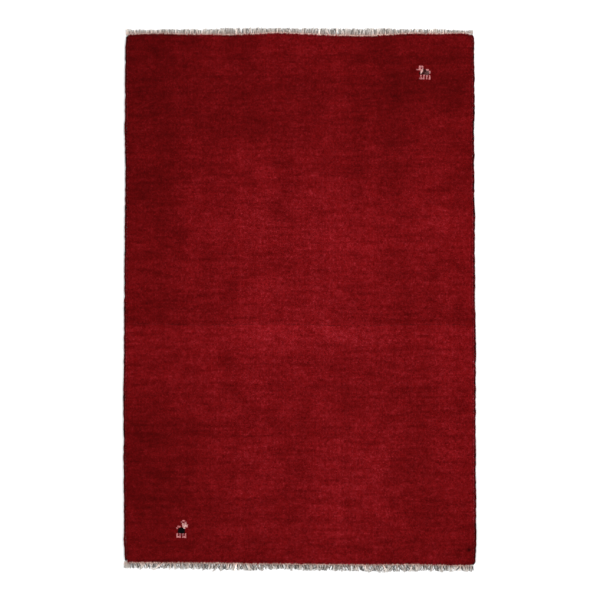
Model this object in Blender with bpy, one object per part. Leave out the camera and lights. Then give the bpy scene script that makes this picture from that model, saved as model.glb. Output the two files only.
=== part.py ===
"""A hand-knotted gabbeh rug that lies flat on the floor, in metres, with +Z up.

The rug is seen from above with its head end towards +Y. Its pieces are the knotted cloth, one slab of ground weave
and clipped pile; a cord overcast with wool along each side; and at each end a narrow flat-woven web, whose loose
warp ends stand out as locks of fringe. The origin is on the floor, under the middle of the whole rug.
"""

import math
import random
from collections import namedtuple

import bmesh
import bpy
from mathutils import Vector

MM = 0.001

# The whole rug
HALF_WIDTH = 0.5006
HALF_LENGTH = 0.754
THICKNESS = 0.0115
GAP = 0.0004

# The side cords and the end webs
CORD_DIAMETER = 0.0054
WEB_WIDTH = 0.0045
WEB_THICKNESS = 0.0026

# The fringe
LOCKS_PER_END = 146
LOCK_SHARE_OF_PITCH = 0.64
TIP_SHARE_OF_WIDTH = 0.6
TIP_THICKNESS = 0.0016
LENGTH_SCATTER = 0.0014
LOCK_STEPS = 2
LEAN = 0.34
LEAN_AT_ROOT = 0.6
LEAN_AT_TIP = 1.4
PAIR_LEAN = 0.07
CORNER_TIP_SHARE = 0.8

# The outline's stations
SIDE_STEP = 0.03
END_STEP = 0.012
CORNER_STEP_DEGREES = 15
RIM_ROUND = 0.0035
RIM_SEGMENTS = 3

# How far each side stands out from its straight line, in mm, by the distance from the rug's middle to the head
SideRow = namedtuple("SideRow", "along left right")
SIDES = (
    SideRow(along=-754, left=-2.6, right=-1.0),
    SideRow(along=-731, left=-0.9, right=1.6),
    SideRow(along=-690, left=0.9, right=3.0),
    SideRow(along=-460, left=1.8, right=1.8),
    SideRow(along=-300, left=2.6, right=1.4),
    SideRow(along=-152, left=0.9, right=1.9),
    SideRow(along=50, left=0.1, right=-0.8),
    SideRow(along=224, left=-2.0, right=-0.9),
    SideRow(along=338, left=-3.2, right=-3.1),
    SideRow(along=480, left=-1.4, right=-3.6),
    SideRow(along=532, left=-1.7, right=-1.7),
    SideRow(along=725, left=-2.8, right=-2.5),
    SideRow(along=740, left=-7.0, right=-3.0),
    SideRow(along=754, left=-6.0, right=-4.0),
)

# How far each end of the pile, and its fringe's tips, stand out from the end's straight line, in mm
EndRow = namedtuple("EndRow", "across head foot head_tip foot_tip")
ENDS = (
    EndRow(across=-500, head=-1.5, foot=-4.4, head_tip=15.0, foot_tip=13.8),
    EndRow(across=-431, head=1.7, foot=-4.0, head_tip=14.0, foot_tip=13.8),
    EndRow(across=-385, head=2.0, foot=-4.0, head_tip=15.5, foot_tip=14.8),
    EndRow(across=-317, head=-0.3, foot=-3.7, head_tip=15.0, foot_tip=15.8),
    EndRow(across=-249, head=-0.6, foot=-3.2, head_tip=16.0, foot_tip=17.8),
    EndRow(across=-203, head=-1.5, foot=-2.0, head_tip=19.5, foot_tip=19.8),
    EndRow(across=-135, head=0.4, foot=-0.8, head_tip=18.5, foot_tip=18.8),
    EndRow(across=-66, head=4.3, foot=-0.9, head_tip=19.0, foot_tip=15.2),
    EndRow(across=2, head=1.4, foot=0.5, head_tip=18.0, foot_tip=18.0),
    EndRow(across=88, head=-2.8, foot=1.3, head_tip=17.5, foot_tip=19.8),
    EndRow(across=196, head=-4.6, foot=2.4, head_tip=17.5, foot_tip=22.3),
    EndRow(across=253, head=-1.4, foot=1.7, head_tip=17.3, foot_tip=22.8),
    EndRow(across=321, head=2.6, foot=1.1, head_tip=16.5, foot_tip=20.3),
    EndRow(across=390, head=1.4, foot=3.0, head_tip=15.5, foot_tip=21.3),
    EndRow(across=458, head=3.2, foot=4.1, head_tip=13.5, foot_tip=20.8),
    EndRow(across=500, head=0.6, foot=5.6, head_tip=13.0, foot_tip=21.8),
)

# Each corner: the radius that the cloth is rounded to, how far the cord turns in with it, in degrees, where the web
# stops beside the middle of the rug, how far the web's corner reaches back along the side, and its corner lock
Corner = namedtuple("Corner", "side end radius cord_turn web_stop web_back lock_width lock_lean")
CORNERS = (
    Corner("left", "foot", 0.004, cord_turn=0, web_stop=0.5030, web_back=0.0032, lock_width=0.011, lock_lean=0.10),
    Corner("right", "foot", 0.013, cord_turn=30, web_stop=0.4975, web_back=0.0025, lock_width=0.006, lock_lean=0.12),
    Corner("right", "head", 0.015, cord_turn=30, web_stop=0.4970, web_back=0.0036, lock_width=0.006, lock_lean=0.15),
    Corner("left", "head", 0.004, cord_turn=0, web_stop=0.4975, web_back=0.0015, lock_width=0.007, lock_lean=0.05),
)

OUTWARD_X = {"left": -1, "right": 1}
OUTWARD_Y = {"foot": -1, "head": 1}


def clear_scene():
    for old in list(bpy.data.objects):
        bpy.data.objects.remove(old)


def read_table(rows, place, column, at):
    """The column's value at a place in metres, eased from one row of a table in millimetres to the next."""
    at = at / MM
    for low, high in zip(rows, rows[1:]):
        start, stop = getattr(low, place), getattr(high, place)
        if at <= stop:
            share = max(0.0, (at - start) / (stop - start))
            eased = share * share * (3 - 2 * share)
            value = getattr(low, column) + eased * (getattr(high, column) - getattr(low, column))
            return value * MM
    return getattr(rows[-1], column) * MM


def cloth_side(side, y):
    """X of the knotted cloth's edge, which stands inside its side cord."""
    inside = HALF_WIDTH - CORD_DIAMETER - GAP
    return OUTWARD_X[side] * (inside + read_table(SIDES, "along", side, y))


def cloth_end(end, x):
    """Y of the knotted cloth's edge."""
    return OUTWARD_Y[end] * (HALF_LENGTH + read_table(ENDS, "across", end, x))


def corner_at(side, end):
    return next(corner for corner in CORNERS if corner.side == side and corner.end == end)


def corner_centre(corner):
    """The middle of the arc that rounds a corner of the cloth."""
    outward_x, outward_y = OUTWARD_X[corner.side], OUTWARD_Y[corner.end]
    x = cloth_side(corner.side, outward_y * (HALF_LENGTH - corner.radius)) - outward_x * corner.radius
    y = cloth_end(corner.end, x) - outward_y * corner.radius
    return Vector((x, y))


def corner_arc(corner, outward, turn):
    """Points round a corner from its side towards its end, outward from the cloth, for a turn in degrees."""
    reach = corner.radius + outward
    points = []
    for degrees in range(0, turn + 1, CORNER_STEP_DEGREES):
        across = OUTWARD_X[corner.side] * reach * math.cos(math.radians(degrees))
        along = OUTWARD_Y[corner.end] * reach * math.sin(math.radians(degrees))
        points.append(corner_centre(corner) + Vector((across, along)))
    return points


def stations(start, stop, spacing):
    """Evenly spaced places between two ends, neither end included."""
    count = round(abs(stop - start) / spacing)
    return [start + (stop - start) * step / count for step in range(1, count)]


def side_points(side, outward):
    """The cloth's edge between the corners of one side, from foot to head, moved outward from the cloth."""
    places = stations(corner_centre(corner_at(side, "foot")).y, corner_centre(corner_at(side, "head")).y, SIDE_STEP)
    return [Vector((cloth_side(side, y) + OUTWARD_X[side] * outward, y)) for y in places]


def end_points(end):
    """The cloth's edge between the corners of one end, from left to right."""
    places = stations(corner_centre(corner_at("left", end)).x, corner_centre(corner_at("right", end)).x, END_STEP)
    return [Vector((x, cloth_end(end, x))) for x in places]


def cloth_outline():
    """The whole edge of the knotted cloth, once round, seen from above."""
    return (
        end_points("foot")
        + corner_arc(corner_at("right", "foot"), 0, 90)[::-1]
        + side_points("right", 0)
        + corner_arc(corner_at("right", "head"), 0, 90)
        + end_points("head")[::-1]
        + corner_arc(corner_at("left", "head"), 0, 90)[::-1]
        + side_points("left", 0)[::-1]
        + corner_arc(corner_at("left", "foot"), 0, 90)
    )


def material(name, colour, roughness):
    made = bpy.data.materials.new(name)
    made.use_nodes = True
    shader = made.node_tree.nodes["Principled BSDF"]
    shader.inputs["Base Color"].default_value = (*colour, 1)
    shader.inputs["Roughness"].default_value = roughness
    shader.inputs["Metallic"].default_value = 0
    made.diffuse_color = (*colour, 1)
    return made


def add_mesh(name, bm, finish, collection):
    """Makes an object of a bmesh, with its faces pointing out."""
    bmesh.ops.recalc_face_normals(bm, faces=bm.faces)
    mesh = bpy.data.meshes.new(name)
    bm.to_mesh(mesh)
    bm.free()
    mesh.materials.append(finish)
    piece = bpy.data.objects.new(name, mesh)
    collection.objects.link(piece)
    return piece


def thicken(bm, faces, thickness):
    """Gives a flat sheet that lies on the floor its thickness, and keeps the sheet as the underside."""
    raised = bmesh.ops.extrude_face_region(bm, geom=faces, use_keep_orig=True)
    tops = [item for item in raised["geom"] if isinstance(item, bmesh.types.BMVert)]
    bmesh.ops.translate(bm, vec=(0, 0, thickness), verts=tops)


def knotted_cloth(finish, collection):
    """The ground weave and its pile: one flat slab with the rug's outline and a rounded upper rim."""
    bm = bmesh.new()
    corners = [bm.verts.new((point.x, point.y, 0)) for point in cloth_outline()]
    sheet = bm.faces.new(corners)
    thicken(bm, [sheet], THICKNESS)
    rim = [edge for edge in bm.edges if all(vert.co.z > THICKNESS / 2 for vert in edge.verts)]
    bmesh.ops.bevel(bm, geom=rim, offset=RIM_ROUND, segments=RIM_SEGMENTS, profile=0.5, affect="EDGES")
    return add_mesh("knotted_cloth", bm, finish, collection)


def side_cord(side, finish, collection):
    """A cord overcast with wool that runs beside the cloth, and turns in with its corners short of the end webs."""
    radius = CORD_DIAMETER / 2
    away = GAP + radius
    foot, head = corner_at(side, "foot"), corner_at(side, "head")
    path = (
        corner_arc(foot, away, foot.cord_turn)[::-1]
        + side_points(side, away)
        + corner_arc(head, away, head.cord_turn)
    )
    curve = bpy.data.curves.new(side + "_side_cord", "CURVE")
    curve.dimensions = "3D"
    curve.bevel_depth = radius
    curve.bevel_resolution = 2
    curve.use_fill_caps = True
    spline = curve.splines.new("POLY")
    spline.points.add(len(path) - 1)
    for place, point in zip(spline.points, path):
        place.co = (point.x, point.y, radius, 1)
    curve.materials.append(finish)
    cord = bpy.data.objects.new(side + "_side_cord", curve)
    collection.objects.link(cord)
    return cord


def lock_lean(end, x):
    """Sideways lean of the fringe, as a slope, which wanders slowly from lock to lock."""
    start = 0.0 if end == "head" else 1.7
    wander = math.sin(x * 41 + start) + 0.8 * math.sin(x * 17 + 2.1 * start) + 0.6 * math.sin(x * 67)
    return LEAN * wander / 2.4


def grow_lock(bm, face, length, lean, tip_share, outward):
    """Draws a lock out of one face of the web in steps, narrower and thinner towards its tip, level on the floor."""
    for step in range(1, LOCK_STEPS + 1):
        along = step / LOCK_STEPS
        face = bmesh.ops.extrude_discrete_faces(bm, faces=[face])["faces"][0]
        middle = face.calc_center_median().x
        narrower = tip_share ** (1 / LOCK_STEPS)
        sideways = lean * length / LOCK_STEPS * (LEAN_AT_ROOT + (LEAN_AT_TIP - LEAN_AT_ROOT) * along)
        for vert in face.verts:
            vert.co.x = middle + (vert.co.x - middle) * narrower + sideways
            vert.co.y += outward * length / LOCK_STEPS
            if vert.co.z:
                vert.co.z = WEB_THICKNESS + along * (TIP_THICKNESS - WEB_THICKNESS)


def web_places(end):
    """X of each place across a web where a lock starts or stops, from left to right."""
    left, right = corner_at("left", end), corner_at("right", end)
    start, stop = left.lock_width - left.web_stop, right.web_stop - right.lock_width
    pitch = (stop - start) / (LOCKS_PER_END - 2)
    half_gap = pitch * (1 - LOCK_SHARE_OF_PITCH) / 2
    places = [-left.web_stop, start]
    for number in range(LOCKS_PER_END - 2):
        places += [start + number * pitch + half_gap, start + (number + 1) * pitch - half_gap]
    return places + [stop, right.web_stop]


def end_web(end):
    """A bmesh of one end web, and its outer edge's faces from left to right: a lock's, a gap's, a lock's and so on."""
    outward = OUTWARD_Y[end]
    places = web_places(end)
    back = {0: corner_at("left", end).web_back, len(places) - 1: corner_at("right", end).web_back}
    bm = bmesh.new()
    bmesh.ops.create_grid(bm, x_segments=len(places) - 1, y_segments=1, size=1)
    outer = {vert for vert in bm.verts if vert.co.y * outward > 0}
    for vert in bm.verts:
        number = round((vert.co.x + 1) / 2 * (len(places) - 1))
        away = GAP + WEB_WIDTH if vert in outer else GAP - back.get(number, 0)
        vert.co.x = places[number]
        vert.co.y = cloth_end(end, vert.co.x) + outward * away
    thicken(bm, list(bm.faces), WEB_THICKNESS)
    upright = [face for face in bm.faces if len({vert.co.z for vert in face.verts}) > 1]
    front = [face for face in upright if len(outer.intersection(face.verts)) == 2]
    return bm, sorted(front, key=lambda face: face.calc_center_median().x)


def fringed_web(end, finish, collection):
    """The flat-woven web at one end of the rug, with its warp ends as locks that stand apart beyond it."""
    scatter = random.Random(end)
    bm, front = end_web(end)
    corners = {0: corner_at("left", end), LOCKS_PER_END - 1: corner_at("right", end)}
    for number, face in enumerate(front[::2]):
        x = face.calc_center_median().x
        reach = read_table(ENDS, "across", end + "_tip", x) - read_table(ENDS, "across", end, x)
        length = reach - GAP - WEB_WIDTH + scatter.uniform(-1, 1) * LENGTH_SCATTER
        if number in corners:
            lean, tip_share = corners[number].lock_lean, CORNER_TIP_SHARE
        else:
            lean, tip_share = lock_lean(end, x) + PAIR_LEAN * (-1) ** number, TIP_SHARE_OF_WIDTH
        grow_lock(bm, face, length, lean, tip_share, OUTWARD_Y[end])
    return add_mesh(end + "_fringe", bm, finish, collection)


def centre_on_origin(pieces):
    """Moves every piece by the same amount, so that the middle of the whole rug is over the origin."""
    bpy.context.view_layer.update()
    places = [piece.matrix_world @ Vector(corner) for piece in pieces for corner in piece.bound_box]
    middle_x = (min(place.x for place in places) + max(place.x for place in places)) / 2
    middle_y = (min(place.y for place in places) + max(place.y for place in places)) / 2
    for piece in pieces:
        piece.location = (-middle_x, -middle_y, 0)


def main():
    clear_scene()
    collection = bpy.data.collections.new("gabbeh_rug")
    bpy.context.scene.collection.children.link(collection)

    red_wool = material("red_wool_pile", (0.165, 0.005, 0.007), 0.95)
    dark_wool = material("dark_red_wool", (0.055, 0.004, 0.004), 0.9)
    warp_yarn = material("natural_warp_yarn", (0.50, 0.44, 0.39), 0.9)

    pieces = [
        knotted_cloth(red_wool, collection),
        side_cord("left", dark_wool, collection),
        side_cord("right", dark_wool, collection),
        fringed_web("head", warp_yarn, collection),
        fringed_web("foot", warp_yarn, collection),
    ]
    centre_on_origin(pieces)


main()
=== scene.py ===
# %% [markdown]
# # A small gabbeh, knot by knot
#
# A gabbeh is a coarse wool rug. Rows of knots are tied on upright warp threads, and each row is beaten down
# and clipped, so that what we walk on is a field of cut wool ends about a centimetre deep. This one is plain
# deep red, with one small animal near each of two corners.
#
# The solid model of the rug is loaded first, as a frame. It says where everything lies. Each plain solid in
# it is then replaced by a piece with the detail of the real thing: a woven ground, a pile of knots, side
# cords wrapped in yarn, woven end webs and a fringe of twisted warp ends.

from collections import namedtuple

import bpy
import numpy as np
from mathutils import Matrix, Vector


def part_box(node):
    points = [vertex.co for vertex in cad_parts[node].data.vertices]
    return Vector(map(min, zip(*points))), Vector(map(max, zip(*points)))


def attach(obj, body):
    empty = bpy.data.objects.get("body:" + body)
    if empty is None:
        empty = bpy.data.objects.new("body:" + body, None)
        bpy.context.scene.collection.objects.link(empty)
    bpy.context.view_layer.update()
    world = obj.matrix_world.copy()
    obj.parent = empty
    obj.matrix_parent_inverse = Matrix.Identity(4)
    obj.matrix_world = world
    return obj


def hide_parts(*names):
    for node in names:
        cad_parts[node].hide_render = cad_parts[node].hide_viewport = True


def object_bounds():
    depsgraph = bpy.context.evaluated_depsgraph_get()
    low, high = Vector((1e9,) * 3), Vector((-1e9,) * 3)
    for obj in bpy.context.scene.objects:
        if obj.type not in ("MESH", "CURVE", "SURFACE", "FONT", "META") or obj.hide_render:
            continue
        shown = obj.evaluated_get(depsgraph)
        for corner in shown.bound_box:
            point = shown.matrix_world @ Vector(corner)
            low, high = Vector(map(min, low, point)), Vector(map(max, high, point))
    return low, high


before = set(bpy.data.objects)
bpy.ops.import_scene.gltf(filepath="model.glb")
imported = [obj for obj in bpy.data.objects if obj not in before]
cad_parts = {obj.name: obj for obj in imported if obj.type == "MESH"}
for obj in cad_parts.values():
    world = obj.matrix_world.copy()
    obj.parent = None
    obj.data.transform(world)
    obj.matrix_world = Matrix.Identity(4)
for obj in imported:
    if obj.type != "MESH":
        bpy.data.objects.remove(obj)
cad_low, cad_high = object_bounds()
MM = 0.001

print("solids:", sorted(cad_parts))
print("size in mm:", [round(side / MM, 1) for side in cad_high - cad_low])

# %% [markdown]
# ## The edge of the cloth
#
# No edge of a hand-woven rug is straight: the weaver pulls one row tighter than the next. We could draw that
# edge again by hand, but the solid already has it, so the pile is fitted to the solid's lowest points.
# Sorting them by the angle at which they lie round the middle puts them in order, because the outline never
# folds back on itself.


# %% Where the edge runs
def points_of(node):
    """A solid's points, one row each."""
    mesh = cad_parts[node].data
    points = np.empty(len(mesh.vertices) * 3, np.float32)
    mesh.vertices.foreach_get("co", points)
    return points.reshape(-1, 3)


def edge_of_cloth(spacing):
    """The solid's lowest points once round, filled in so that they are evenly spaced.

    A place on the way round is the running sum of the distances between the points, and each coordinate is
    interpolated along it.
    """
    points = points_of("knotted_cloth")
    low = np.unique(points[points[:, 2] < 0.1 * MM, :2].round(6), axis=0)
    low = low[np.argsort(np.arctan2(low[:, 1], low[:, 0]))]
    low = np.concatenate([low, low[:1]])
    run = np.concatenate([[0], np.cumsum(np.linalg.norm(np.diff(low, axis=0), axis=1))])
    places = np.arange(0, run[-1], spacing)
    return np.stack([np.interp(places, run, low[:, axis]) for axis in (0, 1)], axis=1)


def furthest(along, away, slice_width=1 * MM):
    """A table of how far points reach: the greatest `away` in each thin slice of `along`."""
    number = np.floor(along / slice_width).astype(int)
    first = number.min()
    most = np.full(number.max() - first + 1, -np.inf)
    np.maximum.at(most, number - first, away)
    places = (np.arange(len(most)) + first + 0.5) * slice_width
    found = np.isfinite(most)
    return places[found], most[found]


EDGE_SPACING = 0.25 * MM
SIDE_WANDER = 2.5 * MM
ROUNDED_CORNER = 19 * MM

EDGE = edge_of_cloth(EDGE_SPACING)
edge_x, edge_y = EDGE.T
HALF_WIDTH = np.abs(edge_x).max() - SIDE_WANDER
straight = np.abs(edge_x) < HALF_WIDTH - ROUNDED_CORNER

HEAD = furthest(edge_x[straight & (edge_y > 0)], edge_y[straight & (edge_y > 0)])
FOOT = furthest(edge_x[straight & (edge_y < 0)], -edge_y[straight & (edge_y < 0)])
RIGHT = furthest(edge_y[edge_x > 0], edge_x[edge_x > 0])
LEFT = furthest(edge_y[edge_x < 0], -edge_x[edge_x < 0])

print("points round the cloth:", len(EDGE))
for name, end in (("head", HEAD), ("foot", FOOT)):
    print("the", name, "end wanders by", round(np.ptp(end[1]) / MM, 1), "mm")

# %% [markdown]
# ## A grid that fits the cloth
#
# A knot's place is a share across and a share along the cloth, each from 0 to 1. A plain stretch of the unit
# square would squeeze whole rows wherever the side bends in. Real rows only crowd together close to the side
# cord, so the correction fades away within a hand's breadth of it.

# %% From shares to places
CROWDING = 80 * MM


def on_cloth(across, along):
    """Where a share across and a share along lie on the cloth.

    x runs evenly from side to side, and each side's offset is added with a weight that falls with the square
    of the distance from that side. y then runs evenly from the foot's edge to the head's edge at that x.
    """
    x = HALF_WIDTH * (2 * across - 1)
    for way, side in ((-1, LEFT), (1, RIGHT)):
        foot, head = -np.interp(way * HALF_WIDTH, *FOOT), np.interp(way * HALF_WIDTH, *HEAD)
        limit = np.interp(foot + along * (head - foot), *side)
        near = np.clip(1 - (HALF_WIDTH - way * x) / CROWDING, 0, 1) ** 2
        x = x + way * (limit - HALF_WIDTH) * near
    foot, head = -np.interp(x, *FOOT), np.interp(x, *HEAD)
    return x, foot + along * (head - foot)


middle = on_cloth(np.array(0.5), np.array(0.5))
print("middle of the cloth:", [round(float(value) / MM, 1) for value in middle])

# %% [markdown]
# ## Soft randomness
#
# Hand-spun wool takes the dye unevenly, and the weaver starts a new length of yarn every few knots. Both give
# soft differences of a known reach: streaks a few centimetres long but only one row tall, and clouds as wide
# as a hand. One function makes them all. It starts from white noise and keeps only the slow ripples, which is
# quick as an array sum over frequencies, whatever the reach.


# %% Noise with a chosen reach
def soft_noise(rows, columns, reach_down, reach_across, seed):
    """White noise blurred by a bell curve, scaled to a mean of 0 and a spread of 1.

    Each frequency f is multiplied by exp(-2 (pi f s)^2), where s is the bell's width in rows or in columns.
    """
    noise = np.random.default_rng(seed).standard_normal((rows, columns))
    down = np.exp(-2 * (np.pi * np.fft.fftfreq(rows) * reach_down) ** 2)
    across = np.exp(-2 * (np.pi * np.fft.rfftfreq(columns) * reach_across) ** 2)
    field = np.fft.irfft2(np.fft.rfft2(noise) * down[:, None] * across[None], s=(rows, columns))
    return (field - field.mean()) / field.std()


print("a soft field:", soft_noise(3, 4, 0.5, 1, seed=1).round(1).tolist())

# %% [markdown]
# ## Counting the knots
#
# The animals' legs stand two knots apart, which puts this rug at about 4 mm a knot. That is 88,000 knots:
# coarse for a carpet, and right for a gabbeh. Each knot becomes a small mound of four triangles between four
# low corners, and its wool's tone and colour are kept with it.

# %% The lattice
KNOT = 4.1 * MM
PILE_HEIGHT = cad_high.z
ROWS = round((HEAD[1].mean() + FOOT[1].mean()) / KNOT)
COLUMNS = round(2 * HALF_WIDTH / KNOT)
share_across = (np.arange(COLUMNS) + 0.5) / COLUMNS
share_along = (np.arange(ROWS) + 0.5) / ROWS
knot_x, knot_y = on_cloth(*np.meshgrid(share_across, share_along))


def nearest_knot(x, y):
    """Row and column of the knot whose middle is nearest to a place."""
    return np.unravel_index(np.hypot(knot_x - x, knot_y - y).argmin(), knot_x.shape)


print(ROWS, "rows of", COLUMNS, "knots, or", ROWS * COLUMNS, "in all")

# %% [markdown]
# ## The colours of the wool
#
# Colours are given as linear light, which is what the shaders reckon in. The red is a deep madder. The
# animals are knotted in undyed cream, two pinks and three dark fleeces, the side cords are wound in a darker
# red, which is partly the overcasting wool's own colour and partly painted shade from the pile over them,
# and the warps are undyed.

# %% Wool
MADDER = (0.202, 0.0049, 0.0074)
CREAM = (0.84, 0.66, 0.61)
PINK = (0.76, 0.41, 0.41)
ASH_PINK = (0.44, 0.25, 0.27)
DARK_FLEECE = (0.003, 0.004, 0.0035)
BROWN_FLEECE = (0.050, 0.012, 0.010)
GREY_FLEECE = (0.13, 0.075, 0.070)
# Partly the wool's own darker red and partly painted shade from the pile that overhangs the cords.
OVERCAST_RED_AND_SHADE = (0.085, 0.0040, 0.0045)
WARP = (0.68, 0.63, 0.58)

print("yarns: madder red, cream, two pinks, three dark fleeces, overcasting and warp")

# %% [markdown]
# ## Two small animals
#
# Weavers knot such animals from memory, a few knots at a time. Each is charted here the way a weaver counts
# it: a block of knots of one yarn, from one column to another and from one row to another, counted from the
# animal's lower left knot. One stands near the head's right corner and looks left, the other near the foot's
# left corner and looks right.

# %% The charts
Block = namedtuple("Block", "part yarn left right low high")
STANDING_GOAT = (
    Block("first leg", PINK, 3, 3, 0, 2),
    Block("second leg", PINK, 5, 5, 0, 2),
    Block("third leg", PINK, 7, 7, 0, 2),
    Block("fourth leg", PINK, 9, 9, 0, 2),
    Block("hoof", ASH_PINK, 2, 2, 0, 0),
    Block("hoof", ASH_PINK, 4, 4, 0, 0),
    Block("chest", BROWN_FLEECE, 2, 5, 3, 4),
    Block("flank", GREY_FLEECE, 6, 8, 3, 5),
    Block("saddle", BROWN_FLEECE, 5, 6, 5, 6),
    Block("neck", CREAM, 3, 3, 4, 5),
    Block("neck", CREAM, 4, 4, 5, 6),
    Block("head", PINK, 1, 3, 6, 6),
    Block("muzzle", ASH_PINK, 0, 0, 6, 6),
    Block("ear", PINK, 2, 2, 7, 8),
    Block("horn", ASH_PINK, 3, 3, 8, 8),
    Block("horn", PINK, 4, 4, 8, 8),
    Block("horn", ASH_PINK, 4, 4, 7, 7),
    Block("tail", PINK, 7, 8, 6, 6),
    Block("tail", PINK, 9, 9, 5, 5),
    Block("tail", ASH_PINK, 9, 9, 4, 4),
)
HORNED_RAM = (
    Block("first leg", PINK, 1, 1, 1, 2),
    Block("second leg", ASH_PINK, 3, 3, 1, 2),
    Block("third leg", ASH_PINK, 5, 5, 1, 2),
    Block("fourth leg", PINK, 7, 7, 1, 2),
    Block("hooves", PINK, 1, 3, 0, 0),
    Block("hooves", PINK, 5, 7, 0, 0),
    Block("belly", DARK_FLEECE, 2, 6, 3, 5),
    Block("back", DARK_FLEECE, 3, 5, 6, 6),
    Block("tail", PINK, 1, 1, 6, 6),
    Block("tail", PINK, 2, 3, 7, 7),
    Block("chest", CREAM, 6, 6, 6, 6),
    Block("neck", CREAM, 5, 6, 7, 8),
    Block("cheek", CREAM, 5, 5, 9, 9),
    Block("eye", ASH_PINK, 6, 6, 9, 9),
    Block("head", CREAM, 7, 7, 7, 9),
    Block("muzzle", PINK, 8, 8, 7, 8),
    Block("brow", ASH_PINK, 7, 7, 10, 10),
    Block("horn", ASH_PINK, 4, 4, 10, 10),
    Block("horn", PINK, 5, 6, 11, 11),
)
Motif = namedtuple("Motif", "chart x y")
MOTIFS = (
    Motif(STANDING_GOAT, x=0.3341, y=0.6338),
    Motif(HORNED_RAM, x=-0.3530, y=-0.6782),
)

dye = np.tile(np.array(MADDER), (ROWS, COLUMNS, 1))
for motif in MOTIFS:
    first_row, first_column = nearest_knot(motif.x, motif.y)
    for block in motif.chart:
        rows = slice(first_row + block.low, first_row + block.high + 1)
        columns = slice(first_column + block.left, first_column + block.right + 1)
        dye[rows, columns] = block.yarn
figured = dye[..., 1] != MADDER[1]

print("knots in other yarns:", int(figured.sum()))

# %% [markdown]
# ## How the red varies
#
# Weavers call the bands where a new batch of wool starts abrash. On top of them come single streaks, clouds
# from uneven clipping, and broad patches, partly the wool's own colour and partly painted light and shade:
# the rug is darker along its left side and its head end and lighter in its open middle. Along its old folds
# it is a little lighter or darker, as painted light and shade where the pile leans another way, and it has
# one small stain near the foot. All are kept as the power to which a base is raised, so that adding them
# multiplies the tones.
#
# Red light passes through wool more than once before it comes out, and green and blue hardly do. So a knot
# that stands proud looks paler as well as lighter, and a deep one a purer red. The second number of each
# knot, its frost, is painted light: how much more green and blue it gives back.

# %% The tone of each knot
Patch = namedtuple("Patch", "where x y wide tall change")
# Patches of lighter and darker red: partly the wool's own colour and partly painted light and shade, such as
# the lighter open middle and the darker left side and head corners. The small stain is a real stain.
PATCHES = (
    Patch("the open middle", x=0.08, y=-0.06, wide=0.36, tall=0.50, change=0.36),
    Patch("right of the foot", x=0.15, y=-0.62, wide=0.24, tall=0.20, change=0.14),
    Patch("the left side, towards the head", x=-0.54, y=0.36, wide=0.20, tall=0.36, change=-0.20),
    Patch("the left side, halfway up", x=-0.41, y=0.27, wide=0.10, tall=0.13, change=-0.26),
    Patch("the left side, towards the foot", x=-0.50, y=-0.52, wide=0.14, tall=0.19, change=-0.30),
    Patch("beside the ram", x=-0.39, y=-0.56, wide=0.09, tall=0.06, change=-0.26),
    Patch("the head's left corner", x=-0.42, y=0.69, wide=0.22, tall=0.16, change=-0.24),
    Patch("the head's right corner", x=0.36, y=0.65, wide=0.16, tall=0.10, change=-0.24),
    Patch("beside the goat", x=0.27, y=0.60, wide=0.07, tall=0.18, change=-0.20),
    Patch("above the brighter spot", x=-0.16, y=0.49, wide=0.22, tall=0.045, change=-0.15),
    Patch("the right side, towards the head", x=0.46, y=0.38, wide=0.08, tall=0.14, change=-0.15),
    Patch("a brighter spot on the left", x=-0.31, y=0.11, wide=0.05, tall=0.06, change=0.15),
    Patch("a brighter spot below it", x=-0.42, y=-0.22, wide=0.10, tall=0.05, change=0.12),
    Patch("beside the ram's head", x=-0.31, y=-0.66, wide=0.05, tall=0.04, change=-0.12),
    Patch("the foot's right half", x=0.24, y=-0.46, wide=0.13, tall=0.07, change=0.12),
    Patch("a brighter spot", x=-0.09, y=0.34, wide=0.07, tall=0.05, change=0.16),
    Patch("a brighter strip", x=0.085, y=-0.50, wide=0.045, tall=0.30, change=0.18),
    Patch("a lighter batch of wool", x=0.03, y=-0.115, wide=0.90, tall=0.060, change=0.13),
    Patch("its left end", x=-0.45, y=-0.11, wide=0.12, tall=0.055, change=0.22),
    Patch("its right end", x=0.38, y=-0.10, wide=0.16, tall=0.050, change=0.14),
    Patch("the right side, towards the foot", x=0.47, y=-0.36, wide=0.10, tall=0.20, change=0.15),
    Patch("a small stain", x=0.4825, y=-0.7125, wide=0.004, tall=0.006, change=-1.6),
)
Fold = namedtuple("Fold", "runs_along at wide change")
# Painted light and shade along the old folds, where the pile leans another way.
FOLD_LIGHT_AND_SHADE = (
    Fold("y", at=-0.312, wide=0.006, change=0.08),
    Fold("y", at=-0.170, wide=0.006, change=0.08),
    Fold("y", at=-0.022, wide=0.012, change=-0.07),
    Fold("y", at=0.113, wide=0.008, change=0.06),
    Fold("x", at=-0.062, wide=0.008, change=-0.12),
    Fold("x", at=-0.078, wide=0.010, change=0.08),
)
NO_CAP = np.inf
Noise = namedtuple("Noise", "strength reach_down reach_across cap seed")
CLOUDS = (
    Noise(strength=0.055, reach_down=12, reach_across=18, cap=NO_CAP, seed=14),
    Noise(strength=0.030, reach_down=4, reach_across=400, cap=NO_CAP, seed=15),
    Noise(strength=0.040, reach_down=4, reach_across=5, cap=NO_CAP, seed=12),
    Noise(strength=0.035, reach_down=45, reach_across=3, cap=NO_CAP, seed=18),
)
STREAKS = (
    Noise(strength=0.095, reach_down=0.35, reach_across=4, cap=0.7, seed=11),
    Noise(strength=0.050, reach_down=0.4, reach_across=40, cap=0.5, seed=17),
    Noise(strength=0.045, reach_down=1.1, reach_across=1.5, cap=NO_CAP, seed=13),
)
KNOT_STRENGTH, KNOT_LOWEST, KNOT_HIGHEST = 0.130, -2.2, 2.0


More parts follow.
